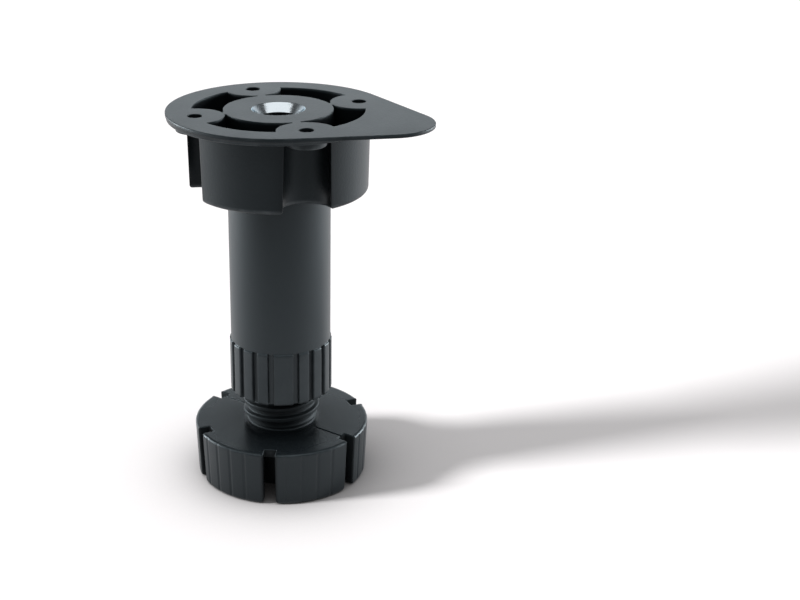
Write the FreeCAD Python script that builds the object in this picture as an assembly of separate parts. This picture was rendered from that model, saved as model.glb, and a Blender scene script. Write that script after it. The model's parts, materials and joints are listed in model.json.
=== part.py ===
# Adjustable cabinet leg: a teardrop screw-on plate with a socket, a leg tube and a screw-in foot.
# Millimetres, +Z up. The origin is the centre of the mounting face, and +X points to the plate's tip.
import FreeCAD
import Part
import math
import os

# Stem of the foot and the tube that takes it
stem_radius = 11.6
thread_clearance = 0.1
tube_wall = 3.3
tube_showing = 63.1
tube_end_bevel = 0.4

# Grip at the lower end of the tube: upright grooves that leave ribs between them.
# The grooves are alike on both sides of the mould's parting plane, and the two ribs on it are wider.
grip_length = 16.4
grip_swell = 0.4
grip_end_bevel = 0.3
groove_width = 1.7
groove_depth = 1.2
grooves_each_side = 9
parting_rib_angle = 28.8
parting_plane_angle = -60.2

# Spigot at the top of the tube and its socket in the plate
shoulder_width = 1.0
socket_clearance = 0.08
spigot_end_gap = 0.3
socket_wall = 1.67
hub_thickness = 4.0

# Hole in the middle of the hub
centre_hole_radius = 5.8
countersink_width = 1.8
countersink_depth = 2.6

# Screw holes, their bosses and the driver channels below them
screw_count = 4
first_screw_angle = 45.0
screw_hole_radius = 2.1
boss_wall = 3.5
boss_drop = 2.1
boss_edge_bevel = 0.4
channel_radius = 6.75
channel_back_wall = 3.67
lobe_wall = 1.55
hub_web_width = 2.4

# Skirt round the socket
skirt_past_holes = 1.75
skirt_draft = 0.35
skirt_wall = 1.4
skirt_depth = 23.4
skirt_edge_round = 0.6
pocket_floor = 1.5

# Plate: a thin teardrop sheet on a round flange
flange_reach = 5.95
flange_inset = 0.25
flange_thickness = 1.05
sheet_thickness = 1.05
sheet_edge_bevel = 0.25
tip_overhang = 14.8
tip_radius = 13.5

# Foot
stem_showing = 10.7
stem_inside_tube = 35.0
stem_core_radius = 8.2
stem_cap = 3.0
stem_end_bevel = 1.0
foot_reach = 14.9
foot_draft = 0.75
foot_height = 16.9
foot_top_round = 0.9
foot_bottom_round = 1.2
foot_top_wall = 2.5
foot_rim_wall = 2.4
foot_hub_wall = 1.6
foot_rib_width = 1.6
foot_rib_clear_of_floor = 2.0
foot_slot_count = 6
first_foot_slot_angle = -11.5
foot_slot_width = 3.6
foot_slot_past_wall = 0.6
foot_slot_flare = 1.5
parting_groove_width = 0.7
parting_groove_depth = 0.4

# Radii worked out from the stem outwards
bore_radius = stem_radius + thread_clearance
tube_radius = bore_radius + tube_wall
spigot_radius = tube_radius - shoulder_width
socket_radius = spigot_radius + socket_clearance
hub_radius = socket_radius + socket_wall
hole_circle_radius = socket_radius + channel_back_wall + channel_radius
boss_radius = screw_hole_radius + boss_wall
lobe_radius = channel_radius + lobe_wall
skirt_radius = hole_circle_radius + skirt_past_holes
pocket_radius = skirt_radius - skirt_wall
plate_radius = skirt_radius + flange_reach
foot_radius = stem_radius + foot_reach

# Heights worked out from the mounting face downwards
plate_bottom = -(sheet_thickness + flange_thickness)
boss_bottom = plate_bottom - boss_drop
skirt_bottom = -skirt_depth
tube_top = -(hub_thickness + spigot_end_gap)
tube_end = skirt_bottom - tube_showing
grip_top = tube_end + grip_length
foot_top = tube_end - stem_showing
foot_bottom = foot_top - foot_height
stem_top = tube_end + stem_inside_tube

# Cutters run this far past the faces that they open, and turned rounds have this many facets
overrun = 1.0
round_steps = 2


def cylinder(radius, low, high):
    return Part.makeCylinder(radius, high - low, FreeCAD.Vector(0, 0, low))


def cone(low_radius, high_radius, low, high):
    return Part.makeCone(low_radius, high_radius, high - low, FreeCAD.Vector(0, 0, low))


def ring(inner, outer, low, high):
    return cylinder(outer, low, high).cut(cylinder(inner, low, high))


def revolved(corners):
    # Turn a closed outline of (radius, height) corners into a solid about the leg's axis.
    points = [FreeCAD.Vector(radius, 0, height) for radius, height in corners]
    face = Part.Face(Part.makePolygon(points + points[:1]))
    return face.revolve(FreeCAD.Vector(0, 0, 0), FreeCAD.Vector(0, 0, 1), 360)


def quarter_round(radius, height, size, first_angle):
    # Corners along a quarter circle of a turned outline, whose centre is at (radius, height).
    angles = [math.radians(first_angle + 90.0 * step / round_steps) for step in range(round_steps + 1)]
    return [(radius + size * math.cos(angle), height + size * math.sin(angle)) for angle in angles]


def bevelled(radius, low, high, size):
    # An upright cylinder whose bottom edge is cut back.
    return revolved([(0, low), (radius - size, low), (radius, low + size), (radius, high), (0, high)])


def radial_bar(width, inner, outer, low, high):
    # A bar that points along +X, centred on the XZ plane.
    corner = FreeCAD.Vector(inner, -width / 2, low)
    return Part.makeBox(outer - inner, width, high - low, corner)


def turned(shape, degrees):
    copy = shape.copy()
    copy.rotate(FreeCAD.Vector(0, 0, 0), FreeCAD.Vector(0, 0, 1), degrees)
    return copy


def around(shape, count, first_angle):
    # Copies of a shape at even steps round the leg's axis.
    return [turned(shape, first_angle + 360.0 * step / count) for step in range(count)]


def at_screw_holes(shape):
    # Copies of a shape that stands on the axis, moved out to each screw hole.
    moved = shape.copy()
    moved.translate(FreeCAD.Vector(hole_circle_radius, 0, 0))
    return around(moved, screw_count, first_screw_angle)


def edges_at(shape, height):
    # Edges that lie wholly at one height.
    flat = []
    for edge in shape.Edges:
        box = edge.BoundBox
        if abs(box.ZMin - height) < 1e-6 and abs(box.ZMax - height) < 1e-6:
            flat.append(edge)
    return flat


def teardrop_sheet():
    # Two circles of unlike size joined by their outer tangents.
    tip_centre = plate_radius + tip_overhang - tip_radius
    lean = math.acos((plate_radius - tip_radius) / tip_centre)

    def on_round(angle):
        return FreeCAD.Vector(plate_radius * math.cos(angle), plate_radius * math.sin(angle), 0)

    def on_tip(angle):
        return FreeCAD.Vector(tip_centre + tip_radius * math.cos(angle), tip_radius * math.sin(angle), 0)

    outline = Part.Wire([
        Part.Arc(on_round(lean), on_round(math.pi), on_round(-lean)).toShape(),
        Part.LineSegment(on_round(-lean), on_tip(-lean)).toShape(),
        Part.Arc(on_tip(-lean), on_tip(0), on_tip(lean)).toShape(),
        Part.LineSegment(on_tip(lean), on_round(lean)).toShape(),
    ])
    sheet = Part.Face(outline).extrude(FreeCAD.Vector(0, 0, -sheet_thickness))
    return sheet.makeChamfer(sheet_edge_bevel, edges_at(sheet, 0))


def pockets():
    # The spaces between hub, skirt and screw lobes, open at the mounting face.
    space = ring(hub_radius, pocket_radius, skirt_bottom + pocket_floor, overrun)
    lobe = cylinder(lobe_radius, skirt_bottom, 2 * overrun)
    web = radial_bar(hub_web_width, 0, hole_circle_radius, skirt_bottom, 2 * overrun)
    return space.cut(at_screw_holes(lobe) + around(web, screw_count, first_screw_angle))


def mounting_plate():
    flange = bevelled(plate_radius - flange_inset, plate_bottom, -sheet_thickness / 2, sheet_edge_bevel)
    skirt_low_radius = skirt_radius - skirt_draft - skirt_edge_round
    skirt_edge = quarter_round(skirt_low_radius, skirt_bottom + skirt_edge_round, skirt_edge_round, -90)
    skirt = revolved([(0, skirt_bottom)] + skirt_edge + [(skirt_radius, plate_bottom), (0, plate_bottom)])
    channel = cylinder(channel_radius, skirt_bottom - overrun, plate_bottom)
    skirt = skirt.cut(at_screw_holes(channel))

    boss = bevelled(boss_radius, boss_bottom, plate_bottom, boss_edge_bevel)
    body = teardrop_sheet().fuse([flange, skirt] + at_screw_holes(boss))

    socket = cylinder(socket_radius, skirt_bottom - overrun, -hub_thickness)
    centre_hole = cylinder(centre_hole_radius, -hub_thickness - overrun, overrun)
    countersink = cone(centre_hole_radius, centre_hole_radius + countersink_width, -countersink_depth, 0)
    screw_hole = cylinder(screw_hole_radius, boss_bottom - overrun, overrun)
    openings = [pockets(), socket, centre_hole, countersink]
    return body.cut(openings + at_screw_holes(screw_hole)).removeSplitter()


def leg_tube():
    crest_radius = tube_radius + grip_swell
    body = revolved([
        (bore_radius, tube_top),
        (spigot_radius - tube_end_bevel, tube_top),
        (spigot_radius, tube_top - tube_end_bevel),
        (spigot_radius, skirt_bottom),
        (tube_radius, skirt_bottom),
        (tube_radius, grip_top),
        (crest_radius - grip_end_bevel, grip_top),
        (crest_radius, grip_top - grip_end_bevel),
        (crest_radius, tube_end + tube_end_bevel),
        (crest_radius - tube_end_bevel, tube_end),
        (bore_radius, tube_end),
    ])
    groove = radial_bar(
        groove_width,
        crest_radius - groove_depth,
        crest_radius + overrun,
        tube_end - overrun,
        grip_top,
    )
    spacing = (180.0 - parting_rib_angle) / (grooves_each_side - 1)
    offsets = [parting_rib_angle / 2 + spacing * step for step in range(grooves_each_side)]
    angles = [parting_plane_angle + side * offset for side in (-1, 1) for offset in offsets]
    return body.cut([turned(groove, angle) for angle in angles]).removeSplitter()


def foot_slot():
    # An upright slot along +X whose mouth at the floor flares out in two quarter rounds.
    half = foot_slot_width / 2
    mouth = half + foot_slot_flare
    turn = foot_slot_flare * (1 - math.sqrt(0.5))
    inner = foot_radius - foot_draft - foot_rim_wall - foot_slot_past_wall
    flare_top = foot_bottom + foot_slot_flare

    def at(across, height):
        return FreeCAD.Vector(inner, across, height)

    outline = Part.Wire([
        Part.LineSegment(at(-half, foot_top + overrun), at(half, foot_top + overrun)).toShape(),
        Part.LineSegment(at(half, foot_top + overrun), at(half, flare_top)).toShape(),
        Part.Arc(
            at(half, flare_top),
            at(half + turn, foot_bottom + turn),
            at(mouth, foot_bottom),
        ).toShape(),
        Part.LineSegment(at(mouth, foot_bottom), at(-mouth, foot_bottom)).toShape(),
        Part.Arc(
            at(-mouth, foot_bottom),
            at(-half - turn, foot_bottom + turn),
            at(-half, flare_top),
        ).toShape(),
        Part.LineSegment(at(-half, flare_top), at(-half, foot_top + overrun)).toShape(),
    ])
    return Part.Face(outline).extrude(FreeCAD.Vector(foot_radius - inner + overrun, 0, 0))


def adjusting_foot():
    low_radius = foot_radius - foot_draft - foot_bottom_round
    low_edge = quarter_round(low_radius, foot_bottom + foot_bottom_round, foot_bottom_round, -90)
    top_edge = quarter_round(foot_radius - foot_top_round, foot_top - foot_top_round, foot_top_round, 0)
    disc = revolved([(0, foot_bottom)] + low_edge + top_edge + [(0, foot_top)])

    stem = revolved([
        (0, foot_top - foot_top_wall),
        (stem_radius, foot_top - foot_top_wall),
        (stem_radius, stem_top - stem_end_bevel),
        (stem_radius - stem_end_bevel, stem_top),
        (0, stem_top),
    ])

    hollow_outer = foot_radius - foot_draft - foot_rim_wall
    hollow_inner = stem_radius + foot_hub_wall
    hollow = ring(hollow_inner, hollow_outer, foot_bottom - overrun, foot_top - foot_top_wall)
    stiffener = radial_bar(
        foot_rib_width,
        hollow_inner - foot_hub_wall / 2,
        hollow_outer + foot_rim_wall / 2,
        foot_bottom + foot_rib_clear_of_floor,
        foot_top - foot_top_wall / 2,
    )
    half_step = 180.0 / foot_slot_count
    stiffeners = around(stiffener, foot_slot_count, first_foot_slot_angle + half_step)
    core = cylinder(stem_core_radius, foot_bottom - overrun, stem_top - stem_cap)
    slots = around(foot_slot(), foot_slot_count, first_foot_slot_angle)
    groove = radial_bar(
        parting_groove_width,
        -foot_radius - overrun,
        foot_radius + overrun,
        foot_top - parting_groove_depth,
        foot_top + overrun,
    )
    disc = disc.cut([hollow, turned(groove, first_foot_slot_angle)] + slots)
    return disc.fuse([stem] + stiffeners).cut(core).removeSplitter()


nodes = {
    "mounting_plate": mounting_plate(),
    "leg_tube": leg_tube(),
    "adjusting_foot": adjusting_foot(),
}

os.makedirs("parts", exist_ok=True)
for name, shape in nodes.items():
    shape.exportStep("parts/" + name + ".step")
    box = shape.BoundBox
    print(name, "solids", len(shape.Solids), "valid", shape.isValid(), "volume", round(shape.Volume, 1))
    print("  x", round(box.XMin, 2), round(box.XMax, 2), "y", round(box.YMin, 2), round(box.YMax, 2),
          "z", round(box.ZMin, 2), round(box.ZMax, 2))
print("screw circle across", round(2 * hole_circle_radius, 3), "plate across", round(2 * plate_radius, 3))
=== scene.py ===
import bmesh
import bpy
import json
import math
import numpy as np
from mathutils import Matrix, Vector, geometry


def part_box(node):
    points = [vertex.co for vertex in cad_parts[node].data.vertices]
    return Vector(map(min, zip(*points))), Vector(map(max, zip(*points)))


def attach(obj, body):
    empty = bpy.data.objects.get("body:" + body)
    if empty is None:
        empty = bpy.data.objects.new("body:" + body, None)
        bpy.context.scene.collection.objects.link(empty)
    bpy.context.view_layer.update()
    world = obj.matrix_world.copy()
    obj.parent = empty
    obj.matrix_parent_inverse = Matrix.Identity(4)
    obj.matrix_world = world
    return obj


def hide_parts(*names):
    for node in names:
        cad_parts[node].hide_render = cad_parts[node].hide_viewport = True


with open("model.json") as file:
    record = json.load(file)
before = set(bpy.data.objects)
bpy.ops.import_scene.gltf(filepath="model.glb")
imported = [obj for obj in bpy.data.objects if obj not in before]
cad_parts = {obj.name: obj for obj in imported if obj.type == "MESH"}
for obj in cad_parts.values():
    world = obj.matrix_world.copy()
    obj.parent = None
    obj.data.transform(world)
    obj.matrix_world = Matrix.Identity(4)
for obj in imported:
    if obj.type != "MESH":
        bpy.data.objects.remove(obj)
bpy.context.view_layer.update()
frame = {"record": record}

from types import SimpleNamespace

mm = 0.001  # forms below are in millimetres
weldReach = 2e-6  # metres, points nearer than this become one
sliverReach = 1e-7  # metres, faces thinner than this are dropped
mounts = {mount["name"]: mount for mount in frame["record"]["mounts"]}


def boxOf(node):
    # lowest and highest corner of a solid, to the nearest tenth of a millimetre
    return [np.round(np.array(corner) / mm, 1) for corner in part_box(node)]


plateLow, plateHigh = boxOf("mounting_plate")
tubeLow, tubeHigh = boxOf("leg_tube")
footLow, footHigh = boxOf("adjusting_foot")
print("frame read, height", round(plateHigh[2] - footLow[2], 1), "mm")


# Outlines and profiles; an argument may be one value, or an array with one value for each row of a surface

def arcPoints(centre, radius, fromDeg, toDeg, count):
    # points on a circle at even steps between two angles
    share = np.linspace(0.0, 1.0, count)
    start, end = np.radians(np.asarray(fromDeg, float)), np.radians(np.asarray(toDeg, float))
    angle = start[..., None] + (end - start)[..., None] * share
    reach = np.asarray(radius, float)[..., None]
    x = np.asarray(centre[0], float)[..., None] + reach * np.cos(angle)
    y = np.asarray(centre[1], float)[..., None] + reach * np.sin(angle)
    return np.stack(np.broadcast_arrays(x, y), -1)


def ringPoints(radius, count):
    # a full circle about the leg's axis
    return arcPoints((0, 0), radius, 0, 360 - 360 / count, count)


def linePoints(start, end, count):
    # points at even steps on a straight line between two (x, y) ends
    share = np.linspace(0.0, 1.0, count)[:, None]
    start, end = np.asarray(start, float)[..., None, :], np.asarray(end, float)[..., None, :]
    return start + (end - start) * share


def turnedRound(points, degrees):
    # the same points turned about the leg's axis
    c, s = math.cos(math.radians(degrees)), math.sin(math.radians(degrees))
    return points @ np.array([[c, s], [-s, c]])


def allRound(points, count, firstDeg):
    # copies at even steps, joined end to end into one closed loop
    return np.concatenate([turnedRound(points, firstDeg + 360.0 * i / count) for i in range(count)], axis=-2)


def softened(loop, reach):
    # each point becomes the raised-cosine mean of its neighbours along the loop, which rounds the corners
    steps = np.arange(-reach, reach + 1)
    weights = 1.0 + np.cos(np.pi * steps / (reach + 1))
    weights = weights / weights.sum()
    return sum(w * np.roll(loop, -s, axis=-2) for s, w in zip(steps, weights))


def circleMeet(distance, small, large):
    # where a small circle crosses the large one: angles at its own and at the large one's centre
    meet = np.degrees(np.arccos((large ** 2 - distance ** 2 - small ** 2) / (2 * distance * small)))
    return meet, np.degrees(np.arcsin(small * np.sin(np.radians(meet)) / large))


def smoothStep(share):
    # S-curve from 0 to 1: three squares less two cubes
    return share * share * (3 - 2 * share)


def roundedProfile(corners, steps=5):
    # a line through (out, height, radius, rub) corners, each turned into an arc of its own radius
    # the rows are (out, height, rub), where rub marks worn edges
    corners = np.array(corners, float)
    rows = [np.append(corners[0, :2], 0.0)[None]]
    for before, here, after in zip(corners[:-2], corners[1:-1], corners[2:]):
        spot, radius, rub = here[:2], here[2], here[3]
        if radius == 0.0:
            rows.append(np.append(spot, rub)[None])
            continue
        a, b = before[:2] - spot, after[:2] - spot
        a, b = a / np.linalg.norm(a), b / np.linalg.norm(b)
        half = math.acos(np.clip(a @ b, -1.0, 1.0)) / 2
        centre = spot + (a + b) / np.linalg.norm(a + b) * radius / math.sin(half)
        u = spot + a * radius / math.tan(half) - centre
        v = spot + b * radius / math.tan(half) - centre
        sweep = math.pi - 2 * half
        share = np.linspace(0.0, 1.0, steps + 1)[:, None]
        arc = centre + (np.sin((1 - share) * sweep) * u + np.sin(share * sweep) * v) / math.sin(sweep)
        rows.append(np.column_stack([arc, np.full(steps + 1, rub)]))
    rows.append(np.append(corners[-1, :2], 0.0)[None])
    return np.vstack(rows)


def addObject(name, data):
    thing = bpy.data.objects.new(name, data)
    bpy.context.scene.collection.objects.link(thing)
    return thing


class Skin:
    # gathers the surfaces of one piece, then welds them into one closed mesh
    # marks from 0 to 1 ride on the points: rub on worn edges, painted shade in recesses, a painted highlight
    # on the seat
    # where surfaces meet, the mark of the one that was added first is kept

    def __init__(self):
        self.points, self.faces, self.smooth, self.count = [], [], [], 0
        self.marks = {"rub": [], "deep": [], "polish": []}

    def grid(self, rows, heights, **marks):
        # rows x points surface, closed along its points; heights and marks are one value a row or a point
        shape = rows.shape[:2]
        heights = np.broadcast_to(heights if np.ndim(heights) == 2 else np.reshape(heights, (-1, 1)), shape)
        marks = {name: np.broadcast_to(value if np.ndim(value) != 1 else np.reshape(value, (-1, 1)), shape)
                 for name, value in marks.items()}
        across = np.arange(shape[1])
        start = np.arange(shape[0] - 1)[:, None] * shape[1]
        a, b = start + across, start + np.roll(across, -1)
        quads = np.stack([a, b, b + shape[1], a + shape[1]], -1).reshape(-1, 4)
        self.add(np.dstack([rows, heights]).reshape(-1, 3), quads, True, marks)

    def sweep(self, rows, profile, **marks):
        # rows that follow a rounded profile, with its heights and worn edges
        self.grid(rows, profile[:, 1], rub=profile[:, 2], **marks)

    def cap(self, loops, height, **marks):
        # flat face at one height, bounded by the first loop, with the other loops left open; one mark a loop
        flat = [np.column_stack([loop, np.full(len(loop), height)]) for loop in loops]
        triangles = np.array(geometry.tessellate_polygon([loop.tolist() for loop in flat]))
        marks = {name: np.hstack([np.full(len(loop), value) for loop, value in zip(loops, values)])
                 for name, values in marks.items()}
        self.add(np.vstack(flat), triangles, False, marks)

    def add(self, points, faces, smooth, marks):
        self.points.append(points)
        self.faces.append(faces + self.count)
        self.smooth.append(np.full(len(faces), smooth))
        for name, kept in self.marks.items():
            kept.append(np.reshape(marks.get(name, np.zeros(len(points))), -1))
        self.count += len(points)

    def toObject(self, name, body, node, slot, material):
        mesh = bpy.data.meshes.new(name)
        faces = [face for part in self.faces for face in part.tolist()]
        mesh.from_pydata((np.vstack(self.points) * mm).tolist(), [], faces)
        mesh.polygons.foreach_set("use_smooth", np.hstack(self.smooth))
        for mark, kept in self.marks.items():
            mesh.attributes.new(mark, "FLOAT", "POINT").data.foreach_set("value", np.hstack(kept))
        work = bmesh.new()
        work.from_mesh(mesh)
        bmesh.ops.remove_doubles(work, verts=work.verts, dist=weldReach)
        bmesh.ops.dissolve_degenerate(work, edges=work.edges, dist=sliverReach)
        bmesh.ops.recalc_face_normals(work, faces=work.faces)
        work.to_mesh(mesh)
        work.free()
        edgeUse = np.zeros(len(mesh.loops), int)
        mesh.loops.foreach_get("edge_index", edgeUse)
        openEdges = int((np.bincount(edgeUse, minlength=len(mesh.edges)) != 2).sum())
        mesh.materials.append(material)
        piece = addObject(name, mesh)
        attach(piece, body)
        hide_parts(node)
        print(name, "faces", len(mesh.polygons), "open edges", openEdges)
        return piece


# Shader nodes

def feed(tree, node, inputs):
    # values by socket: another node's output, a plain number or an (r, g, b) colour
    for label, value in inputs.items():
        if isinstance(value, (int, float)):
            node.inputs[label].default_value = value
        elif isinstance(value, tuple):
            node.inputs[label].default_value = value + (1.0,)
        else:
            tree.links.new(value, node.inputs[label])


def addNode(tree, kind, **inputs):
    node = tree.nodes.new("ShaderNode" + kind)
    feed(tree, node, inputs)
    return node


def mathNode(tree, operation, a, b, clamp=False):
    node = addNode(tree, "Math")
    node.operation = operation
    node.use_clamp = clamp
    feed(tree, node, {0: a, 1: b})
    return node.outputs[0]


def mixNode(tree, factor, first, second):
    # the first colour where the factor is 0, the second where it is 1
    node = addNode(tree, "Mix")
    node.data_type = "RGBA"
    a, b = [place for place, socket in enumerate(node.inputs) if socket.type == "RGBA"]
    feed(tree, node, {"Factor": factor, a: first, b: second})
    return next(socket for socket in node.outputs if socket.type == "RGBA")


def noiseNode(tree, vector, scale, detail, roughness):
    node = addNode(tree, "TexNoise", Vector=vector, Scale=scale, Detail=detail, Roughness=roughness)
    return node.outputs["Fac"]


def rangeNode(tree, value, span, toLow=0.0, toHigh=1.0):
    # the span's ends become the two given values, with a straight line between and no more outside
    node = addNode(tree, "MapRange", Value=value)
    feed(tree, node, {"From Min": span[0], "From Max": span[1], "To Min": toLow, "To Max": toHigh})
    return node.outputs["Result"]


def vectorNode(tree, operation, vector, fixed=(0.0, 0.0, 0.0)):
    node = addNode(tree, "VectorMath")
    node.operation = operation
    node.inputs[1].default_value = fixed
    feed(tree, node, {0: vector})
    return node.outputs


# Shared effects of the moulded plastic

effects = {
    "mottleSpan": (0.3, 0.7),
    "patchScale": 160.0,
    "patchSpan": (0.38, 0.66),
    "dustSlope": (0.55, 1.0),
    "speckScale": 700.0,
    "speckSpan": (0.42, 0.75),
}
whole = (0.0, 1.0)  # span of a mask
valueKind, vectorKind = "NodeSocketFloat", "NodeSocketVector"


def newGroup(name, inputs, outputs):
    group = bpy.data.node_groups.new(name, "ShaderNodeTree")
    for label, kind, value in [("Vector", vectorKind, (0, 0, 0))] + inputs:
        group.interface.new_socket(label, in_out="INPUT", socket_type=kind).default_value = value
    for label in outputs:
        group.interface.new_socket(label, in_out="OUTPUT", socket_type=valueKind)
    return group, group.nodes.new("NodeGroupInput").outputs, group.nodes.new("NodeGroupOutput").inputs


def makeMouldGrain():
    # fine spark-eroded grain for the bump, and slow cloudy mottling for tone and gloss
    inputs = [("Grain", valueKind, 3000.0), ("Cloud", valueKind, 90.0)]
    group, given, out = newGroup("mouldGrain", inputs, ["Height", "Mottle"])
    fine = noiseNode(group, given["Vector"], given["Grain"], 2.0, 0.6)
    slow = noiseNode(group, given["Vector"], given["Cloud"], 3.0, 0.55)
    group.links.new(fine, out["Height"])
    group.links.new(rangeNode(group, slow, effects["mottleSpan"]), out["Mottle"])
    return group


def makeEdgeRub():
    # rubbed edges: the edge mark broken up by noise, so that the pale line comes and goes
    inputs = [("Rub", valueKind, 0.0), ("Amount", valueKind, 0.5)]
    group, given, out = newGroup("edgeRub", inputs, ["Mask"])
    noise = noiseNode(group, given["Vector"], effects["patchScale"], 4.0, 0.6)
    mask = mathNode(group, "MULTIPLY", given["Rub"], rangeNode(group, noise, effects["patchSpan"]))
    group.links.new(mathNode(group, "MULTIPLY", mask, given["Amount"], True), out["Mask"])
    return group


def makeDustFilm():
    # thin dust on what faces up: the normal's height, broken up by specks
    inputs = [("Normal", vectorKind, (0, 0, 1)), ("Amount", valueKind, 0.2)]
    group, given, out = newGroup("dustFilm", inputs, ["Mask", "Up"])
    split = addNode(group, "SeparateXYZ", Vector=given["Normal"])
    up = rangeNode(group, split.outputs["Z"], effects["dustSlope"])
    noise = noiseNode(group, given["Vector"], effects["speckScale"], 5.0, 0.7)
    mask = mathNode(group, "MULTIPLY", up, rangeNode(group, noise, effects["speckSpan"]))
    group.links.new(mathNode(group, "MULTIPLY", mask, given["Amount"], True), out["Mask"])
    group.links.new(up, out["Up"])
    return group


mouldGrain, edgeRub, dustFilm = makeMouldGrain(), makeEdgeRub(), makeDustFilm()

# finish that the three mouldings share; each piece adds its own values
charcoal = {
    # painted shade: the near-black tone that recesses are mixed towards
    "deepTone": (0.0020, 0.0026, 0.0031),
    "rubTone": (0.09, 0.10, 0.105),
    "dustTone": (0.14, 0.15, 0.15),
    "deepRough": 0.7,  # times the roughness in recesses
    "cloud": 70.0,
    "grainHeight": 0.05,
    "gleamTint": (0.82, 0.94, 1.0),
}


def mouldedPlastic(name, finish):
    # charcoal plastic: two tones mixed by the mottling, paler where rubbed or dusty, with painted shade in
    # the recesses grain is in the bump; a finish may add a painted highlight on a smooth seat, or painted
    # shade darkening a top towards the axis
    material = bpy.data.materials.new(name)
    material.use_nodes = True
    tree = material.node_tree
    where = addNode(tree, "TexCoord").outputs["Object"]
    normal = addNode(tree, "NewGeometry").outputs["Normal"]

    def placed(group, **inputs):
        node = addNode(tree, "Group")
        node.node_tree = group
        feed(tree, node, dict(inputs, Vector=where))
        return node.outputs

    def marked(mark):
        node = addNode(tree, "Attribute")
        node.attribute_name = mark
        return node.outputs["Fac"]

    grain = placed(mouldGrain, Grain=finish["grain"], Cloud=finish["cloud"])
    rubbed = placed(edgeRub, Rub=marked("rub"), Amount=finish["rubAmount"])
    dusty = placed(dustFilm, Normal=normal, Amount=finish["dustAmount"])
    mottle, up, deep = grain["Mottle"], dusty["Up"], marked("deep")

    colour = mixNode(tree, mottle, finish["tone"], finish["paleTone"])
    colour = mixNode(tree, rubbed["Mask"], colour, finish["rubTone"])
    colour = mixNode(tree, dusty["Mask"], colour, finish["dustTone"])
    gloss = rangeNode(tree, mottle, whole, finish["roughLow"], finish["roughHigh"])
    recess = rangeNode(tree, deep, whole, 1.0, finish["deepRough"])
    if "topRing" in finish:
        # what faces up is smoother, and gets painted shade within a ring round the stem: distance from the
        # axis over the ring's width
        flat = vectorNode(tree, "MULTIPLY", where, (1.0, 1.0, 0.0))["Vector"]
        away = vectorNode(tree, "LENGTH", flat)["Value"]
        shadeRing = rangeNode(tree, away, [edge * mm for edge in finish["topRing"]], 1.0, 0.0)
        shadeRing = mathNode(tree, "MULTIPLY", shadeRing, up)
        deep = mathNode(tree, "MAXIMUM", deep, shadeRing)
        gloss = mathNode(tree, "ADD", gloss, mathNode(tree, "MULTIPLY", up, finish["topRough"]))
        recess = mathNode(tree, "MULTIPLY", recess, rangeNode(tree, shadeRing, whole, 1.0, finish["ringRough"]))
    # painted shade: recesses, and the ring where there is one, are mixed towards a near-black tone
    colour = mixNode(tree, deep, colour, finish["deepTone"])
    gloss = mathNode(tree, "MULTIPLY", gloss, recess)
    look = {"IOR": finish["ior"], "Specular Tint": finish["gleamTint"]}
    if "seatTone" in finish:
        # painted highlight: a pale metal-like seat where this mark is 1
        polish = marked("polish")
        colour = mixNode(tree, polish, colour, finish["seatTone"])
        gloss = mathNode(tree, "MULTIPLY", gloss, rangeNode(tree, polish, whole, 1.0, finish["seatRough"]))
        look["Metallic"] = polish
    bump = addNode(tree, "Bump", Strength=finish["bump"], Distance=finish["grainHeight"] * mm,
                   Height=grain["Height"])
    look.update({"Base Color": colour, "Roughness": gloss, "Normal": bump.outputs["Normal"]})
    feed(tree, tree.nodes["Principled BSDF"], look)
    return material


# Mounting plate: teardrop sheet on a round flange, notched skirt, pockets, bosses and socket

plateForm = {
    "sheetThickness": 1.05,
    "flangeThickness": 1.05,
    "flangeInset": 0.25,
    "tipRadius": 13.5,
    "skirtRadius": 26.25,
    "skirtWall": 1.4,
    "skirtDraft": 0.35,
    "channelRadius": 6.75,
    "channelDraft": 0.3,
    "lobeWall": 1.55,
    "webWidth": 2.4,
    "pocketFloor": 1.5,
    "bossWall": 3.5,
    "bossDrop": 2.1,
    "hubRadius": 15.75,
    "hubThickness": 4.0,
    "socketRadius": 14.08,
    "sinkWidth": 1.8,
    "sinkDepth": 2.6,
    "edgeRound": 0.25,  # sheet's upper edge and the skirt's root
    "rimRound": 0.15,  # sheet's lower edge and the screw holes' rims
    "boreRound": 0.2,  # holes' lower ends, bosses' roots and the countersink
    "flangeRound": 0.3,  # flange and socket
    "bossRound": 0.5,
    "pocketRound": 0.14,
    "pocketFloorRound": 0.08,
    "skirtRound": 1.1,
    "flatStrip": 0.1,  # flat width kept beside a rounded edge
    "teardropSteps": (420, 140, 40),  # points on the round, the tip and each straight side
    "flangeSteps": 480,
    "skirtSteps": 56,  # points from a skirt panel's middle to a channel
    "channelSteps": 96,
    "pocketSteps": (90, 44, 4),  # points on a long arc, a lobe and a web
    "bossSteps": 96,
    "hubSteps": 240,
    "finish": dict(
        charcoal, tone=(0.0075, 0.0098, 0.0114), paleTone=(0.0087, 0.0113, 0.0130), roughLow=0.40,
        roughHigh=0.43, rubAmount=0.5, dustAmount=0.07, grain=1400.0, bump=0.7, ior=1.37,
        # the pale seat tone is a painted highlight on the countersink
        seatTone=(0.50, 0.51, 0.52), seatRough=0.5),
}


def plateSizes(values):
    # the form's values, with what follows from them, the solid's box and the screw pattern
    form, holes = SimpleNamespace(**values), mounts["screw_holes"]["dims"]
    form.radius, form.tipReach, form.skirtBottom = -plateLow[1], plateHigh[0], plateLow[2]
    form.holeCircle, form.holeRadius, form.holeCount = holes["pcd_mm"] / 2, holes["hole_r_mm"], holes["count"]
    form.halfTurn = 180.0 / form.holeCount  # from a screw hole to the middle of a skirt panel
    form.centreHole = mounts["centre_hole"]["dims"]["r_mm"]
    form.sheetBottom = -form.sheetThickness
    form.bottom = form.sheetBottom - form.flangeThickness
    form.flangeRadius = form.radius - form.flangeInset
    return form


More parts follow.
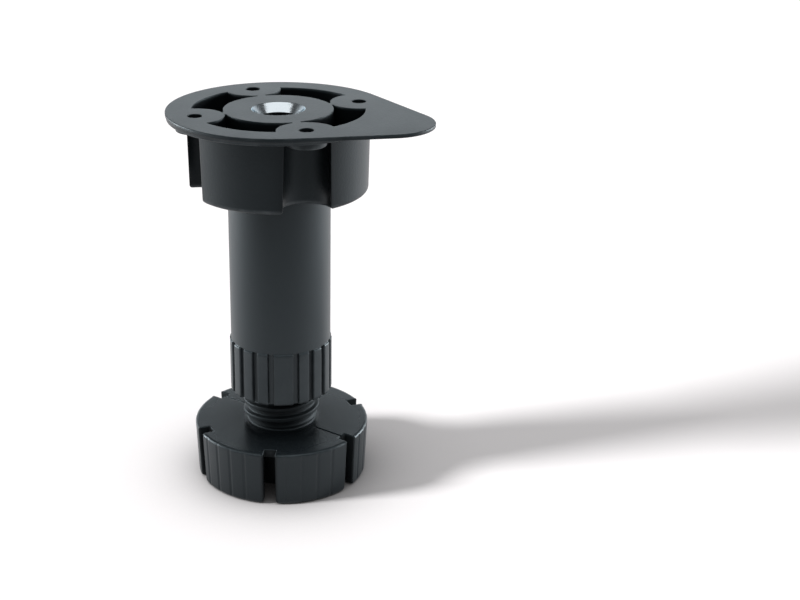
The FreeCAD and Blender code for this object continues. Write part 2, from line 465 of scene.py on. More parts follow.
def teardrop(form, out):
    # two arcs joined by their tangents, the whole set out by one distance
    roundSteps, tipSteps, sideSteps = form.teardropSteps
    tipCentre = form.tipReach - form.tipRadius
    lean = math.degrees(math.acos((form.radius - form.tipRadius) / tipCentre))
    big = arcPoints((0, 0), form.radius + out, lean, 360 - lean, roundSteps)
    tip = arcPoints((tipCentre, 0), form.tipRadius + out, -lean, lean, tipSteps)
    lower = linePoints(big[..., -1, :], tip[..., 0, :], sideSteps)[..., 1:-1, :]
    upper = linePoints(tip[..., -1, :], big[..., 0, :], sideSteps)[..., 1:-1, :]
    return np.concatenate([big, lower, tip, upper], axis=-2)


def skirtLoop(form, out, channelOut):
    # round skirt whose outline turns into each driver channel; out moves the skirt, channelOut the channels
    large, small = form.skirtRadius + out, form.channelRadius - channelOut
    meet, turn = circleMeet(form.holeCircle, small, large)
    firstArc = arcPoints((0, 0), large, -form.halfTurn, -turn, form.skirtSteps)[..., 1:, :]
    channel = arcPoints((form.holeCircle, 0), small, -meet, meet - 360, form.channelSteps)
    lastArc = arcPoints((0, 0), large, turn, form.halfTurn, form.skirtSteps)
    panel = np.concatenate([firstArc, channel, lastArc], axis=-2)
    return softened(allRound(panel, form.holeCount, form.halfTurn), 2)


def skirtShade(form):
    # painted shade along the skirt's outline: in the channels' sides, and a little on the wall beside them
    beside = 0.6 * np.clip(np.linspace(-1.0, 1.0, form.skirtSteps), 0, 1) ** 2
    fromMiddle = np.abs(np.linspace(-1, 1, form.channelSteps))
    inChannel = np.clip((fromMiddle - 0.35) / 0.3, 0, 1)
    return np.tile(np.hstack([beside[1:], inChannel, beside[::-1]]), form.holeCount)


def pocketLoop(form, out):
    # space between skirt, two screw lobes and hub, with the lobes tied to the hub by narrow webs
    longSteps, lobeSteps, webSteps = form.pocketSteps
    large, hub = form.skirtRadius - form.skirtWall + out, form.hubRadius - out
    small, web = form.channelRadius + form.lobeWall - out, form.webWidth / 2 - out
    half = form.halfTurn
    meet, turn = circleMeet(form.holeCircle, small, large)
    webAtLobe = 180 - np.degrees(np.arcsin(web / small))
    webAtHub = np.degrees(np.arcsin(web / hub))
    lobeX, lobeY = turnedRound(np.array([form.holeCircle, 0.0]), half)
    outer = arcPoints((0, 0), large, turn - half, half - turn, longSteps)
    lobeA = arcPoints((lobeX, lobeY), small, half - meet, half - webAtLobe, lobeSteps)
    inner = arcPoints((0, 0), hub, half - webAtHub, webAtHub - half, longSteps)
    lobeB = arcPoints((lobeX, -lobeY), small, webAtLobe - half, meet - half, lobeSteps)
    webA = linePoints(lobeA[..., -1, :], inner[..., 0, :], webSteps)[..., 1:-1, :]
    webB = linePoints(inner[..., -1, :], lobeB[..., 0, :], webSteps)[..., 1:-1, :]
    return softened(np.concatenate([outer, lobeA, webA, inner, webB, lobeB], axis=-2), 1)


def buildPlate(values):
    skin, form = Skin(), plateSizes(values)
    strip, boreRound, flangeRound = form.flatStrip, form.boreRound, form.flangeRound
    sheetBottom, plateBottom, skirtBottom = form.sheetBottom, form.bottom, form.skirtBottom

    # sheet edge, the step under it and the flange edge, which leans in a little
    topIn, stepIn, flangeIn = form.edgeRound + strip, form.rimRound + strip / 2, flangeRound + strip
    sheetEdge = roundedProfile([
        (-topIn, 0, 0, 0), (0, 0, form.edgeRound, 0.3), (0, sheetBottom, form.rimRound, 0),
        (-stepIn, sheetBottom, 0, 0)])
    skin.sweep(teardrop(form, sheetEdge[:, 0]), sheetEdge)
    flangeEdge = roundedProfile([
        (0.0, sheetBottom, 0, 0), (-0.02, plateBottom, flangeRound, 0.5), (-flangeIn, plateBottom, 0, 0)])
    flangeRows = ringPoints(form.flangeRadius + flangeEdge[:, 0], form.flangeSteps)
    skin.sweep(flangeRows, flangeEdge)
    skin.cap([teardrop(form, -stepIn), flangeRows[0]], sheetBottom)

    # skirt wall with its channels, from the flange down to the rounded bottom edge
    skirtRound, rootRound = form.skirtRound, form.edgeRound
    skirtSide = roundedProfile([
        (rootRound + strip, plateBottom, 0, 0), (0, plateBottom, rootRound, 0),
        (-0.0005, skirtBottom + skirtRound + 0.4, 0, 0), (-0.001, skirtBottom, skirtRound, 0.6),
        (-skirtRound - strip, skirtBottom, 0, 0)], 6)
    out = skirtSide[:, 0]
    drop = np.clip((plateBottom - skirtSide[:, 1]) / (plateBottom - skirtBottom), 0, 1)
    skirtRows = skirtLoop(form, out - form.skirtDraft * drop, out - form.channelDraft * drop)
    onWall = 1.0 * (np.abs(out) < 0.1)[:, None]
    # painted shade in and beside the channels, on the upright wall only
    skin.sweep(skirtRows, skirtSide, deep=skirtShade(form) * onWall)

    # screw holes run down through their bosses
    holeRadius, bossRadius = form.holeRadius, form.holeRadius + form.bossWall
    bossBottom = plateBottom - form.bossDrop
    holeSide = roundedProfile([
        (holeRadius + form.rimRound + strip, 0, 0, 0), (holeRadius, 0, form.rimRound, 0.5),
        (holeRadius, bossBottom, boreRound, 0), (bossRadius, bossBottom, form.bossRound, 0.8),
        (bossRadius, plateBottom, boreRound, 0), (bossRadius + boreRound + strip, plateBottom, 0, 0)])
    # painted shade inside the screw holes
    inHole = 1.0 * (holeSide[:, 0] < holeRadius + 0.01)
    boss = ringPoints(holeSide[:, 0], form.bossSteps) + np.array([form.holeCircle, 0.0])
    bosses = [turnedRound(boss, form.halfTurn * (2 * i + 1)) for i in range(form.holeCount)]
    for rows in bosses:
        skin.sweep(rows, holeSide, deep=inHole)

    # pockets between hub, lobes and skirt, with painted shade from just below the rim
    pocketBottom = skirtBottom + form.pocketFloor
    pocketRound, floorRound = form.pocketRound, form.pocketFloorRound
    pocketSide = roundedProfile([
        (pocketRound + strip, 0, 0, 0), (0, 0, pocketRound, 0.5), (0, -0.9, 0, 0),
        (0, pocketBottom, floorRound, 0), (-floorRound - strip, pocketBottom, 0, 0)], 4)
    pocketRows = pocketLoop(form, pocketSide[:, 0])
    pockets = [turnedRound(pocketRows, 2 * form.halfTurn * i) for i in range(form.holeCount)]
    belowRim = np.clip(-pocketSide[:, 1] / 0.8 - 0.15, 0, 1)
    for rows in pockets:
        skin.sweep(rows, pocketSide, deep=belowRim)
        skin.cap([rows[-1]], pocketBottom, deep=[1])

    # countersunk centre hole, hub underside and socket
    bore, sinkDepth, socket = form.centreHole, form.sinkDepth, form.socketRadius
    sinkRim, hubBottom = bore + form.sinkWidth, -form.hubThickness
    hubSide = roundedProfile([
        (sinkRim + boreRound + strip, 0, 0, 0), (sinkRim, 0, boreRound, 0.6),
        (bore, -sinkDepth, boreRound, 0), (bore, hubBottom, boreRound, 0),
        (socket, hubBottom, flangeRound, 0), (socket, skirtBottom, flangeRound, 0.6),
        (socket + flangeRound + strip, skirtBottom, 0, 0)])
    hubRows = ringPoints(hubSide[:, 0], form.hubSteps)
    # painted highlight on the countersink's cone
    onSink = (hubSide[:, 0] > bore + 0.02) & (np.abs(hubSide[:, 1] + sinkDepth / 2) < sinkDepth / 2)
    # painted shade down the bore below the countersink
    inBore = (hubSide[:, 0] < bore + 0.3) & ~onSink
    skin.sweep(hubRows, hubSide, deep=1.0 * inBore, polish=1.0 * onSink)

    # flat faces: top, flange underside and skirt underside
    openings = [hubRows[0]] + [rows[0] for rows in pockets + bosses]
    skin.cap([teardrop(form, -topIn)] + openings, 0.0)
    skin.cap([flangeRows[-1], skirtRows[0]] + [rows[-1] for rows in bosses], plateBottom)
    skin.cap([skirtRows[-1], hubRows[-1]], skirtBottom)
    material = mouldedPlastic("plateCharcoal", form.finish)
    return skin.toObject("mountingPlate", "plate", "mounting_plate", "plate_plastic", material)


plate = buildPlate(plateForm)


# Leg tube: plain round tube with a spigot above and a grooved grip below

tubeForm = {
    "boreRadius": 11.7,
    "spigotRadius": 14.0,
    "gripLength": 16.4,
    "grooveWidth": 1.7,
    "grooveDepth": 1.2,
    "grooveFlank": 0.3,
    "ribEdge": 0.45,  # width over which a rib falls off towards a groove
    "ribFall": 0.10,
    "groovesEachSide": 9,
    "partingRib": 28.8,  # degrees between the grooves beside the parting plane
    "partingPlane": -60.2,
    "endBevel": 0.4,
    "boreRounds": (0.3, 0.4),  # at the top and at the end
    "spigotRounds": (0.4, 0.15),  # at the top and at the shoulder
    "shoulderRound": 0.25,
    "plainEnd": 2.0,  # height above the end where the bore's rows start and stop
    "columns": 1080,
    "finish": dict(
        charcoal, tone=(0.0100, 0.0130, 0.0150), paleTone=(0.0115, 0.0148, 0.0170), roughLow=0.40,
        roughHigh=0.44, rubAmount=0.3, dustAmount=0.05, grain=3200.0, bump=0.22, ior=1.46),
}


def gripGrooves(form, crest):
    # at each angle: share of a groove, 1 on its floor with S-curve flanks, and nearness to a rib's edge
    turn = np.linspace(0, 360, form.columns, endpoint=False)
    offsets = np.linspace(form.partingRib / 2, 180 - form.partingRib / 2, form.groovesEachSide)
    middles = form.partingPlane + np.hstack([offsets, -offsets])
    apart = np.abs((turn[:, None] - middles + 180) % 360 - 180).min(1) * math.radians(1) * crest
    past = apart - form.grooveWidth / 2
    groove = smoothStep(np.clip(0.5 - past / form.grooveFlank, 0, 1))
    edge = np.clip(1 - past / form.ribEdge, 0, 1) * (1 - groove)
    return groove, edge


def buildTube(values):
    skin, form = Skin(), SimpleNamespace(**values)
    bore, spigot, bevel = form.boreRadius, form.spigotRadius, form.endBevel
    tubeRadius, crest = mounts["plinth_clip_seat"]["dims"]["r_mm"], tubeHigh[1]
    top, end, shoulder = tubeHigh[2], tubeLow[2], plateLow[2]
    gripTop, valley = end + form.gripLength, crest - form.grooveDepth
    groove, edge = gripGrooves(form, crest)
    boreTop, boreEnd = form.boreRounds
    spigotTop, spigotEnd = form.spigotRounds
    boreStart = end + form.plainEnd

    # plain rows: bore, spigot, shoulder and the smooth length
    upper = roundedProfile([
        (bore, boreStart, 0, 0), (bore, top, boreTop, 0), (spigot, top, spigotTop, 0),
        (spigot, shoulder, spigotEnd, 0), (tubeRadius, shoulder, form.shoulderRound, 0.6),
        (tubeRadius, shoulder - 0.7, 0, 0), (tubeRadius, gripTop + 0.25, 0, 0)])
    # grip rows: (height, rib radius, groove radius, rub), with an S-curve at the top and a bevel at the end
    grip = np.array([
        (gripTop + 0.10, tubeRadius, tubeRadius, 0),
        (gripTop + 0.03, tubeRadius + 0.02, tubeRadius - 0.06, 0),
        (gripTop - 0.02, tubeRadius + 0.09, tubeRadius - 0.35, 0.1),
        (gripTop - 0.08, tubeRadius + 0.17, valley + 0.2, 0.2),
        (gripTop - 0.16, crest - 0.14, valley + 0.06, 0.3),
        (gripTop - 0.28, crest - 0.04, valley, 0.3),
        (gripTop - 0.45, crest, valley, 0.2),
        (gripTop - 1.2, crest, valley, 0.2),
        (end + 1.2, crest, valley, 0.2),
        (end + bevel, crest, valley, 0.6),
        (end + 0.2, crest - 0.10, valley, 1),
        (end + 0.06, crest - 0.24, valley, 1),
        (end, crest - bevel, valley, 0.6)])
    lower = roundedProfile([(valley - 0.3, end, 0, 0), (bore, end, boreEnd, 0.5), (bore, boreStart, 0, 0)])
    above, below = np.zeros(len(upper)), np.zeros(len(lower))
    heights = np.hstack([upper[:, 1], grip[:, 0], lower[:, 1]])
    ribReach = np.hstack([upper[:, 0], grip[:, 1], lower[:, 0]])[:, None]
    cut = np.hstack([above, grip[:, 1] - grip[:, 2], below])[:, None]
    rub = np.hstack([upper[:, 2], grip[:, 3], lower[:, 2]])[:, None]
    # radius by height and angle: the rib's, less the cut in a groove and a slight fall at a rib's edges
    inGrip = np.clip(cut, 0, 1)
    inside = 1.0 * (ribReach < tubeRadius - 1.5)
    reach = (ribReach - cut * groove - form.ribFall * inGrip * edge ** 2)[..., None]
    rows = reach * ringPoints(1.0, form.columns)
    # painted shade: part of it in the grooves, all of it inside the bore
    skin.grid(rows, heights, rub=rub * (1 - groove * inGrip) + 0.6 * inGrip * edge,
              deep=np.maximum(0.45 * inGrip * groove, inside))
    material = mouldedPlastic("tubeCharcoal", form.finish)
    return skin.toObject("legTube", "tube", "leg_tube", "tube_plastic", material)


tube = buildTube(tubeForm)


# Adjusting foot: slotted round foot, hollow below, on a coarse right-hand screw stem

footForm = {
    "height": 16.9,
    "draft": 0.75,
    "topRound": 0.9,
    "floorRound": 1.2,
    "innerRound": 0.3,
    "topWall": 2.5,
    "rimWall": 2.4,
    "slotCount": 6,
    "firstSlot": -11.5,
    "slotWidth": 3.6,
    "slotPastWall": 0.6,
    "slotFlare": 1.5,
    "slotEdge": 0.3,
    # slotShade is painted shade on the slots' sides
    "slotShade": 0.9,  # deep mark on the slots' sides
    "notchRound": 0.25,
    "cornerRound": 0.45,
    "fluteAngles": (-19.2, -8.4, 2.4, 13.2),
    "fluteWidth": 3.4,  # degrees
    "fluteDepth": 0.18,
    "grooveWidth": 0.7,
    "grooveDepth": 0.4,
    "grooveRound": 0.08,
    "grooveFromStem": 1.3,
    "hubRadius": 13.2,
    "coreRadius": 8.2,
    "stiffenerWidth": 1.6,
    "stiffenerClear": 2.0,
    "stiffenerBite": (0.7, 0.8, 0.6),  # into the hub, the rim and the top wall
    "stemRadius": 11.6,
    "stemCap": 3.0,
    "neckFlat": 0.4,
    "neckHeight": 0.6,
    "crownHeight": 1.0,
    "threadPitch": 3.5,
    "threadDepth": 1.35,
    "threadCrest": 0.24,  # shares of the pitch
    "threadRoot": 0.30,
    # the thread carries painted shade; crestPale is how much less of it the crest gets
    "crestPale": 0.1,  # how much less deep the crest is marked than the root
    "threadFade": (2.2, 1.5),  # height over which the thread grows below and ends above
    "flatStrip": 0.12,
    "sideSteps": 8,
    "cornerSteps": 9,
    "faceSteps": 150,
    "innerSteps": 70,
    "stemSteps": 192,
    "threadSteps": 240,
    "finish": dict(
        charcoal, tone=(0.0080, 0.0105, 0.0122), paleTone=(0.0094, 0.0122, 0.0140), roughLow=0.40,
        # the top ring is painted shade on the foot's top round the stem
        roughHigh=0.44, deepRough=1.6, topRough=-0.13, topRing=(13.0, 27.0), ringRough=0.7,
        rubAmount=0.28, dustAmount=0.04, grain=2400.0, bump=0.35, ior=1.40),
}


def footSizes(values):
    # the form's values, with what follows from them and the solid's box, and two rows along a sector's edge
    # onFace is 1 on the round face and 0 on the slot sides; flute is the depth of raised-cosine grooves
    form = SimpleNamespace(**values)
    form.radius, form.floor, form.stemTop = footHigh[1], footLow[2], footHigh[2]
    form.top = form.floor + form.height
    form.ceiling = form.top - form.topWall
    form.slotHalf = form.slotWidth / 2
    form.innerRim = form.radius - form.draft - form.rimWall
    form.step = 360.0 / form.slotCount
    form.turns = form.firstSlot + form.step * np.arange(form.slotCount)
    form.bend = np.radians(np.linspace(0, 90, 7))
    sidePoints = form.sideSteps - 1 + form.cornerSteps
    form.edgePoints = 2 * sidePoints + form.faceSteps - 2
    onFace = np.zeros((form.edgePoints, 1))
    onFace[sidePoints:-sidePoints] = 1.0
    form.onFace = softened(onFace, 4)[:, 0]
    angle = np.linspace(-form.step / 2, form.step / 2, form.edgePoints)
    away = np.abs(angle[:, None] - np.array(form.fluteAngles)).min(1)
    wave = 0.5 + 0.5 * np.cos(np.pi * np.clip(2 * away / form.fluteWidth, 0, 1))
    form.flute = form.fluteDepth * wave * form.onFace
    return form


def rimPath(form, outer, slotHalf, inner):
    # one sector's edge, from a slot's side out to the round face and back at the next slot, corners rounded
    corner = form.cornerRound
    along = np.sqrt((outer - corner) ** 2 - (slotHalf + corner) ** 2)
    lean = np.degrees(np.arctan2(slotHalf + corner, along))
    sideIn = np.stack([np.sqrt(inner ** 2 - slotHalf ** 2), slotHalf], -1)
    side = linePoints(sideIn, np.stack([along, slotHalf], -1), form.sideSteps)[:, :-1]
    turn = arcPoints((along, slotHalf + corner), corner, -90, lean, form.cornerSteps)
    face = arcPoints((0, 0), outer, lean, form.step - lean, form.faceSteps)[:, 1:-1]
    firstHalf = np.hstack([side, turn])
    mirrored = turnedRound(firstHalf[:, ::-1] * np.array([1.0, -1.0]), form.step)
    return np.hstack([firstHalf, face, mirrored])


def fluted(form, rim, strength):
    # the round face drawn in along its radius by the flutes' depth, times one strength a row
    reach = np.linalg.norm(rim, axis=-1, keepdims=True)
    return rim * (1 - (form.flute * strength[:, None])[..., None] / reach)


def footTop(skin, form):
    # top wall: flat strip, quarter-round edge, then upright sides, round sectors and across the slots' ends
    # a thin groove runs from the stem into two opposite slots
    bend, top, grooveFloor = form.bend, form.top, form.top - form.grooveDepth
    inset = np.hstack([[1.0], 1 - np.sin(bend), [0, 0]])
    fall = np.hstack([[0.0], 1 - np.cos(bend), [1, 1]])
    strip = np.hstack([[form.flatStrip], np.zeros(len(inset) - 1)])
    rimEdge = form.slotEdge + (form.topRound - form.slotEdge) * form.onFace
    rimTop = top - rimEdge * fall[:, None]
    rimTop[-2] = np.minimum(rimTop[-2] - 0.05, grooveFloor)
    rimTop[-1] = form.ceiling
    outer = form.radius - form.topRound * inset - strip
    outer = outer - form.draft * (top - rimTop.min(1)) / form.height
    slotHalf = form.slotHalf + form.slotEdge * inset + strip
    strength = np.hstack([np.zeros(4), np.linspace(0.2, 1.0, len(inset) - 4)])
    rim = fluted(form, rimPath(form, outer, slotHalf, form.innerRim), strength)

    # inner end of the next slot, and the groove's end by the stem, both seen from the sector before them
    gapHalf = form.grooveWidth / 2 + form.grooveRound * inset + strip
    slotEnd = form.innerRim - form.slotPastWall - form.notchRound * inset - strip
    across = np.stack([-slotHalf, -gapHalf, gapHalf, slotHalf], -1)
    notch = turnedRound(np.stack(np.broadcast_arrays(slotEnd[:, None], across), -1), form.step)
    notchTop = np.repeat((top - form.notchRound * fall)[:, None], 4, axis=1)
    notchTop[-2], notchTop[-1] = grooveFloor, form.ceiling
    grooveEnd = form.stemRadius + form.grooveFromStem - form.grooveRound * inset - strip
    groove = turnedRound(np.stack(np.broadcast_arrays(grooveEnd[:, None], across[:, 1:3]), -1), form.step)
    grooveTop = np.repeat((top - form.grooveRound * fall)[:, None], 2, axis=1)
    grooveTop[-2:] = grooveFloor

    # upper rows follow the groove in and out, so that its floor is a flat face of its own
    rows = len(inset) - 1
    plain = [(rim, rimTop, form.onFace), (notch, notchTop, np.zeros(4))]
    grooved = [plain[0], (notch[:, :2], notchTop[:, :2], np.zeros(2)), (groove, grooveTop, np.zeros(2)),
               (notch[:, 2:], notchTop[:, 2:], np.zeros(2))]
    groovedSectors = (form.slotCount // 2 - 1, form.slotCount - 1)
    grooveLoop = np.vstack([notch[rows - 1, 1:2], groove[rows - 1], notch[rows - 1, 2:3]])
    loops, heights, face = [], [], []
    for sector, turn in enumerate(form.turns):
        parts = grooved if sector in groovedSectors else plain
        for path, height, onFace in parts:
            loops.append(turnedRound(path[:rows], turn))
            heights.append(height[:rows])
            face.append(onFace)
        if parts is grooved:
            # painted shade on the groove's floor
            skin.cap([turnedRound(grooveLoop, turn)], grooveFloor, deep=[1])
    loops, heights = np.hstack(loops), np.hstack(heights)
    onSide = 1 - np.hstack(face)
    edgeMark = np.hstack([[0], np.sin(2 * bend), [0.1]])[:, None]
    # painted shade on the slots' sides, growing down the edge's round
    skin.grid(loops, heights, rub=edgeMark * (1 - 0.5 * onSide),
              deep=form.slotShade * fall[:rows, None] * onSide)

    # lower rows pass under the groove, down to the ceiling
    wall = np.hstack([rim, notch])[-2:]
    wallHeights = np.hstack([rimTop, notchTop])[-2:]
    # painted shade on the slots' sides and inner ends, down to the ceiling
    wallShade = form.slotShade * (1 - np.hstack([form.onFace, np.zeros(4)]))
    skin.grid(allRound(wall, form.slotCount, form.firstSlot), np.tile(wallHeights, form.slotCount),
              deep=np.tile(wallShade, (2, form.slotCount)))
    return loops[0], notch[-1]


def footRim(skin, form, notchEnd):
    # rim sectors: closed loops of rim path and inner arc, from the ceiling down to quarter-round feet
    bend, innerRound, innerPoints = form.bend, form.innerRound, form.innerSteps - 2
    upright = np.zeros(3)
    drop = np.array([0.0, 0.3, 0.7])[:, None]
    inset = np.hstack([upright, 1 - np.cos(bend), [1.0]])
    rise = np.hstack([1 - np.sin(bend), [0.0]])[:, None]
    strip = np.hstack([np.zeros(len(inset) - 1), [form.flatStrip]])
    edgeRound = form.slotFlare + (form.floorRound - form.slotFlare) * form.onFace
    edgeRound = np.hstack([edgeRound, np.full(innerPoints, innerRound)])
    upper = form.ceiling + (form.floor + edgeRound - form.ceiling) * drop
    heights = np.vstack([upper, form.floor + edgeRound * rise])
    faceHeight = heights[:, form.edgePoints // 2]
    outer = form.radius - form.draft * (form.top - faceHeight) / form.height
    outer = outer - form.floorRound * inset - strip
    slotHalf = form.slotHalf + form.slotFlare * inset + strip
    inner = form.innerRim + innerRound * inset + strip
    strength = np.hstack([upright + 1, np.linspace(1, 0.2, len(bend)), [0.0]])
    rim = fluted(form, rimPath(form, outer, slotHalf, inner), strength)
    lean = np.degrees(np.arcsin(slotHalf / inner))
    innerArc = arcPoints((0, 0), inner, form.step - lean, lean, form.innerSteps)
    rim[:, 0], rim[:, -1] = innerArc[:, -1], innerArc[:, 0]
    sector = np.hstack([rim, innerArc[:, 1:-1]])
    outside = np.hstack([np.ones(form.edgePoints), np.zeros(innerPoints)])
    rub = np.hstack([upright, np.sin(2 * bend), [0]])[:, None] * outside
    # painted shade on the slots' sides and all over the inner arcs
    deep = np.hstack([form.slotShade * (1 - form.onFace), np.ones(innerPoints)])
    underside = []
    for turn in form.turns:
        skin.grid(turnedRound(sector, turn), heights, rub=rub, deep=np.tile(deep, (len(inset), 1)))
        skin.cap([turnedRound(sector[-1], turn)], form.floor)
        underside += [turnedRound(innerArc[0, ::-1], turn), turnedRound(notchEnd, turn)]
    return np.vstack(underside)


def footStiffeners(skin, form):
    # bars under the top wall from hub to rim: a rounded side profile along two straight sides
    intoHub, intoRim, intoTop = form.stiffenerBite
    high, low = form.ceiling + intoTop, form.floor + form.stiffenerClear
    side = roundedProfile([(0.0, high, 0, 0), (0.0, low, 0.3, 0.3), (-0.4, low, 0, 0)], 4)
    half = form.stiffenerWidth / 2 + side[:, 0]
    near, far = np.full_like(half, form.hubRadius - intoHub), np.full_like(half, form.innerRim + intoRim)
    bar = np.hstack([linePoints(np.stack([near, -half], -1), np.stack([far, -half], -1), 24),
                     linePoints(np.stack([far, half], -1), np.stack([near, half], -1), 24)])
    for turn in form.turns + form.step / 2:
        skin.sweep(turnedRound(bar, turn), side)
        skin.cap([turnedRound(bar[0], turn)], high)
        skin.cap([turnedRound(bar[-1], turn)], low)


def footHub(skin, form, underside):
    # hub and the core that runs up inside the stem, and the underside of the top wall around them
    hub, core, coreTop = form.hubRadius, form.coreRadius, form.stemTop - form.stemCap
    side = roundedProfile([
        (hub + 0.6, form.ceiling, 0, 0), (hub, form.ceiling, 0.4, 0), (hub, form.floor, 0.5, 0.4),
        (core, form.floor, 0.5, 0.3), (core, coreTop, 0.5, 0), (2.0, coreTop, 0, 0)])
    rows = ringPoints(side[:, 0], form.stemSteps)
    # painted shade on the hub and core inside the hollow, from just above the floor
    skin.sweep(rows, side, deep=1.0 * (side[:, 1] > form.floor + 0.6))
    skin.cap([rows[-1]], coreTop)
    skin.cap([underside, rows[0]], form.ceiling)


def footStem(skin, form, topLoop):
    # stem: the radius follows the height along a right-hand helix, crest, S-curve flank, root, flank
    top, stemTop, steps, depth = form.top, form.stemTop, form.stemSteps, form.threadDepth
    root, low, high = form.stemRadius - depth, top + form.neckHeight, stemTop - form.crownHeight
    climb = np.linspace(low, high, form.threadSteps)[:, None]
    phase = (climb / form.threadPitch - np.arange(steps) / steps) % 1.0
    fromCrest = np.abs(phase - 0.5) * 2
    flank = 1 - form.threadCrest - form.threadRoot
    cut = depth * smoothStep(np.clip((fromCrest - form.threadCrest) / flank, 0, 1))
    fadeIn, fadeOut = form.threadFade
    fade = np.clip((climb - low) / fadeIn, 0, 1) * np.clip((high - climb) / fadeOut, 0, 1)
    neckRadius = form.stemRadius + form.neckFlat
    neck = roundedProfile([(neckRadius, top, 0, 0), (root, top, 0.5, 0), (root, low, 0, 0)])[:-1]
    crown = roundedProfile([(root, high, 0, 0), (root, stemTop, 0.6, 0), (2.0, stemTop, 0, 0)])[1:]
    plainNeck, plainCrown = np.repeat(neck[:, :1], steps, 1), np.repeat(crown[:, :1], steps, 1)
    reach = np.vstack([plainNeck, root + (depth - cut) * fade, plainCrown])
    # painted shade all over the thread, a little less towards the crest
    deep = 1 - form.crestPale * np.clip((reach - root) / depth, 0, 1)
    deep[0] = 0.0  # the foot's flat top shares this row
    rows = reach[..., None] * ringPoints(1.0, steps)
    skin.grid(rows, np.hstack([neck[:, 1], climb[:, 0], crown[:, 1]]), deep=deep)
    skin.cap([rows[-1]], stemTop)
    skin.cap([topLoop, rows[0]], top)


def buildFoot(values):
    skin, form = Skin(), footSizes(values)
    topLoop, notchEnd = footTop(skin, form)
    underside = footRim(skin, form, notchEnd)
    footStiffeners(skin, form)
    footHub(skin, form, underside)
    footStem(skin, form, topLoop)
    material = mouldedPlastic("footCharcoal", form.finish)
    return skin.toObject("adjustingFoot", "foot", "adjusting_foot", "foot_plastic", material)


foot = buildFoot(footForm)


# Floor, light and camera

studio = {
    "cameraPlace": (0.18467, -0.36009, 0.10481),
    "cameraTilt": 67.988,
    "cameraTurn": 25.501,
    "lens": 65.59,
    "shiftX": 0.10085,
    "floorRadius": 6.0,
    "floorTone": (0.90, 0.878, 0.884),
    "floorFront": (0.18, 0.18, 0.18),
    "frontSpan": (0.09, 0.26),
    "floorGlow": 0.14,
    "contactReach": 0.040,
    "skyForLight": 0.43,
    "skyFront": 0.15,
    "skyFrontSpan": (-0.1, 0.75),
    "skyTop": 0.10,
    "skyTopSpan": (0.26, 0.50),
    "skyGleam": (0.85, 0.94, 1.0),
    "keyTurn": 193.0,
    "keyRise": 25.0,
    "keyPower": 5.0,
    "keySpread": 12.0,
    "boxTone": (0.90, 0.965, 1.0),
    "softboxes": {
        "overhead": {"turn": -88.0, "rise": 63.0, "distance": 0.9, "size": (2.2, 0.6), "power": 6.9},
        "behind": {"turn": 92.0, "rise": 12.0, "distance": 1.2, "size": (0.7, 0.3), "power": 1.0},
        "rimLeft": {"turn": 158.0, "rise": 4.0, "distance": 1.1, "size": (0.5, 0.5), "power": 17.8},
        "rimRight": {"turn": 24.0, "rise": 4.0, "distance": 1.1, "size": (0.5, 0.5), "power": 17.8},
    },
}


def buildCamera(values):
    eye = bpy.data.cameras.new("camera")
    eye.lens = values.lens
    eye.sensor_width = 36.0
    eye.shift_x = values.shiftX
    eye.clip_start = 0.01
    camera = addObject("camera", eye)
    camera.location = values.cameraPlace
    camera.rotation_euler = (math.radians(values.cameraTilt), 0.0, math.radians(values.cameraTurn))
    bpy.context.scene.camera = camera


def pictureFront(values):
    # level direction out of the picture's front
    turn = math.radians(values.cameraTurn)
    return (math.sin(turn), -math.cos(turn), 0.0)


def buildFloor(values):
    # a wide disc at the height that the foot stands on, with painted contact shade where the foot meets it
    # in what the leg mirrors it is darker in front of the picture: a painted dark reflection, as if a dark
    # sheet lay there
    disc = ringPoints(values.floorRadius, 96)
    disc = np.column_stack([disc, np.full(len(disc), footLow[2] * mm)])
    mesh = bpy.data.meshes.new("floor")
    mesh.from_pydata(disc.tolist(), [], [list(range(len(disc)))])
    floor = addObject("floor", mesh)
    material = bpy.data.materials.new("paleFloor")
    material.use_nodes = True
    tree = material.node_tree
    tree.nodes.clear()
    rays = addNode(tree, "LightPath").outputs
    where = addNode(tree, "TexCoord").outputs["Object"]
    ahead = vectorNode(tree, "DOT_PRODUCT", where, pictureFront(values))["Value"]
    # painted dark reflection: darker ahead of the leg, only for mirrored rays
    paintedMirrorShade = mathNode(tree, "MULTIPLY", rangeNode(tree, ahead, values.frontSpan), rays["Is Glossy Ray"])
    tone = mixNode(tree, paintedMirrorShade, values.floorTone, values.floorFront)
    # painted contact shade: ambient occlusion darkens the floor's colour and its glow near the foot
    contactShade = addNode(tree, "AmbientOcclusion", Distance=values.contactReach, Color=tone).outputs
    matte = addNode(tree, "BsdfDiffuse", Color=contactShade["Color"])
    seen = mathNode(tree, "ADD", rays["Is Camera Ray"], rays["Is Glossy Ray"])
    seen = mathNode(tree, "ADD", seen, rays["Is Transmission Ray"], True)
    lit = mathNode(tree, "MULTIPLY", seen, contactShade["AO"])
    strength = mathNode(tree, "MULTIPLY", lit, values.floorGlow)
    glow = addNode(tree, "Emission", Color=tone, Strength=strength)
    both = addNode(tree, "AddShader")
    feed(tree, both, {0: matte.outputs[0], 1: glow.outputs[0]})
    addNode(tree, "OutputMaterial", Surface=both.outputs[0])
    mesh.materials.append(material)
    return floor


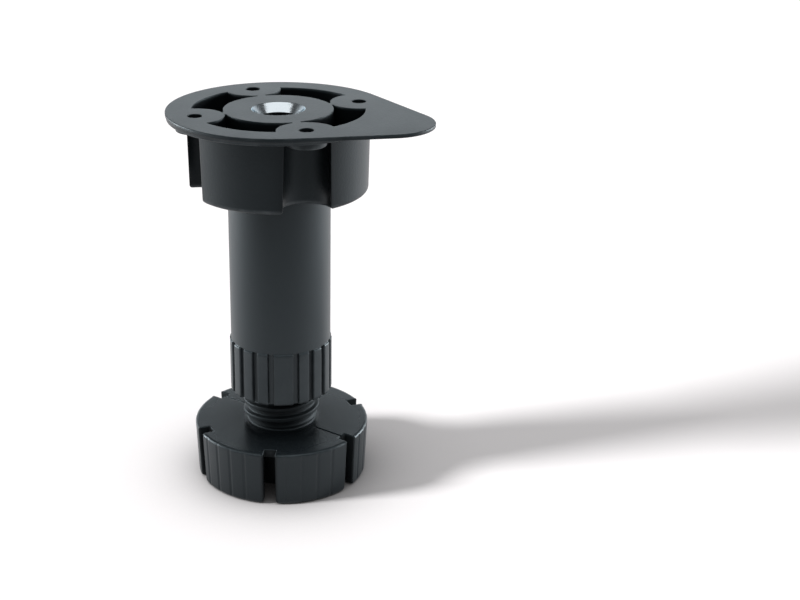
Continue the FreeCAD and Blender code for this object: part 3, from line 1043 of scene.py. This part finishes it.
def buildWorld(values):
    # white where it is seen, dimmer where it is mirrored from overhead or from the picture's front side
    # all else gets a low even light
    world = bpy.data.worlds.new("studioWorld")
    bpy.context.scene.world = world
    world.use_nodes = True
    tree = world.node_tree
    tree.nodes.clear()
    rays = addNode(tree, "LightPath").outputs
    outward = addNode(tree, "TexCoord").outputs["Generated"]
    facing = vectorNode(tree, "DOT_PRODUCT", outward, pictureFront(values))["Value"]
    mirrored = rangeNode(tree, facing, values.skyFrontSpan, 1.0, values.skyFront)
    split = addNode(tree, "SeparateXYZ", Vector=outward)
    overhead = rangeNode(tree, split.outputs["Z"], values.skyTopSpan, 1.0, values.skyTop)
    mirrored = mathNode(tree, "MULTIPLY", mirrored, overhead)
    seen = mathNode(tree, "MULTIPLY", rays["Is Glossy Ray"], mirrored)
    seen = mathNode(tree, "ADD", seen, rays["Is Camera Ray"])
    seen = mathNode(tree, "ADD", seen, rays["Is Transmission Ray"], True)
    direct = mathNode(tree, "ADD", rays["Is Camera Ray"], rays["Is Glossy Ray"])
    unseen = mathNode(tree, "SUBTRACT", 1.0, direct, True)
    level = mathNode(tree, "ADD", seen, mathNode(tree, "MULTIPLY", unseen, values.skyForLight))
    tint = mixNode(tree, rays["Is Glossy Ray"], (1.0, 1.0, 1.0), values.skyGleam)
    sky = addNode(tree, "Background", Color=tint, Strength=level)
    addNode(tree, "OutputWorld", Surface=sky.outputs[0])


def buildLamps(values, floor, pieces):
    # key lamp: low on the picture's left, lights the floor alone, so that the leg's shadow runs to the right
    lamp = bpy.data.lights.new("keyLamp", "SUN")
    lamp.energy = values.keyPower
    lamp.angle = math.radians(values.keySpread)
    key = addObject("keyLamp", lamp)
    side = values.keyTurn + values.cameraTurn
    key.rotation_euler = (math.radians(90 - values.keyRise), 0.0, math.radians(side + 90))
    floorOnly = bpy.data.collections.new("floorOnly")
    floorOnly.objects.link(floor)
    key.light_linking.receiver_collection = floorOnly

    # softboxes: flat lamps that face the leg's middle and light it alone, for the gleam on its edges
    legOnly = bpy.data.collections.new("legOnly")
    for piece in pieces:
        legOnly.objects.link(piece)
    for name, box in values.softboxes.items():
        lamp = bpy.data.lights.new(name, "AREA")
        lamp.energy = box["power"]
        lamp.color = values.boxTone
        lamp.shape = "RECTANGLE"
        lamp.size, lamp.size_y = box["size"]
        softbox = addObject(name, lamp)
        turn, rise = math.radians(box["turn"] + values.cameraTurn), math.radians(box["rise"])
        flat, high = box["distance"] * math.cos(rise), box["distance"] * math.sin(rise)
        softbox.location = (flat * math.cos(turn), flat * math.sin(turn), high + footLow[2] * mm / 2)
        softbox.rotation_euler = (math.pi / 2 - rise, 0.0, turn + math.pi / 2)
        softbox.light_linking.receiver_collection = legOnly
    print("lamps set, key lamp at", side, "degrees round and", values.keyRise, "degrees up")


bpy.context.scene.view_settings.view_transform = "Standard"
values = SimpleNamespace(**studio)
buildCamera(values)
buildWorld(values)
buildLamps(values, buildFloor(values), [plate, tube, foot])
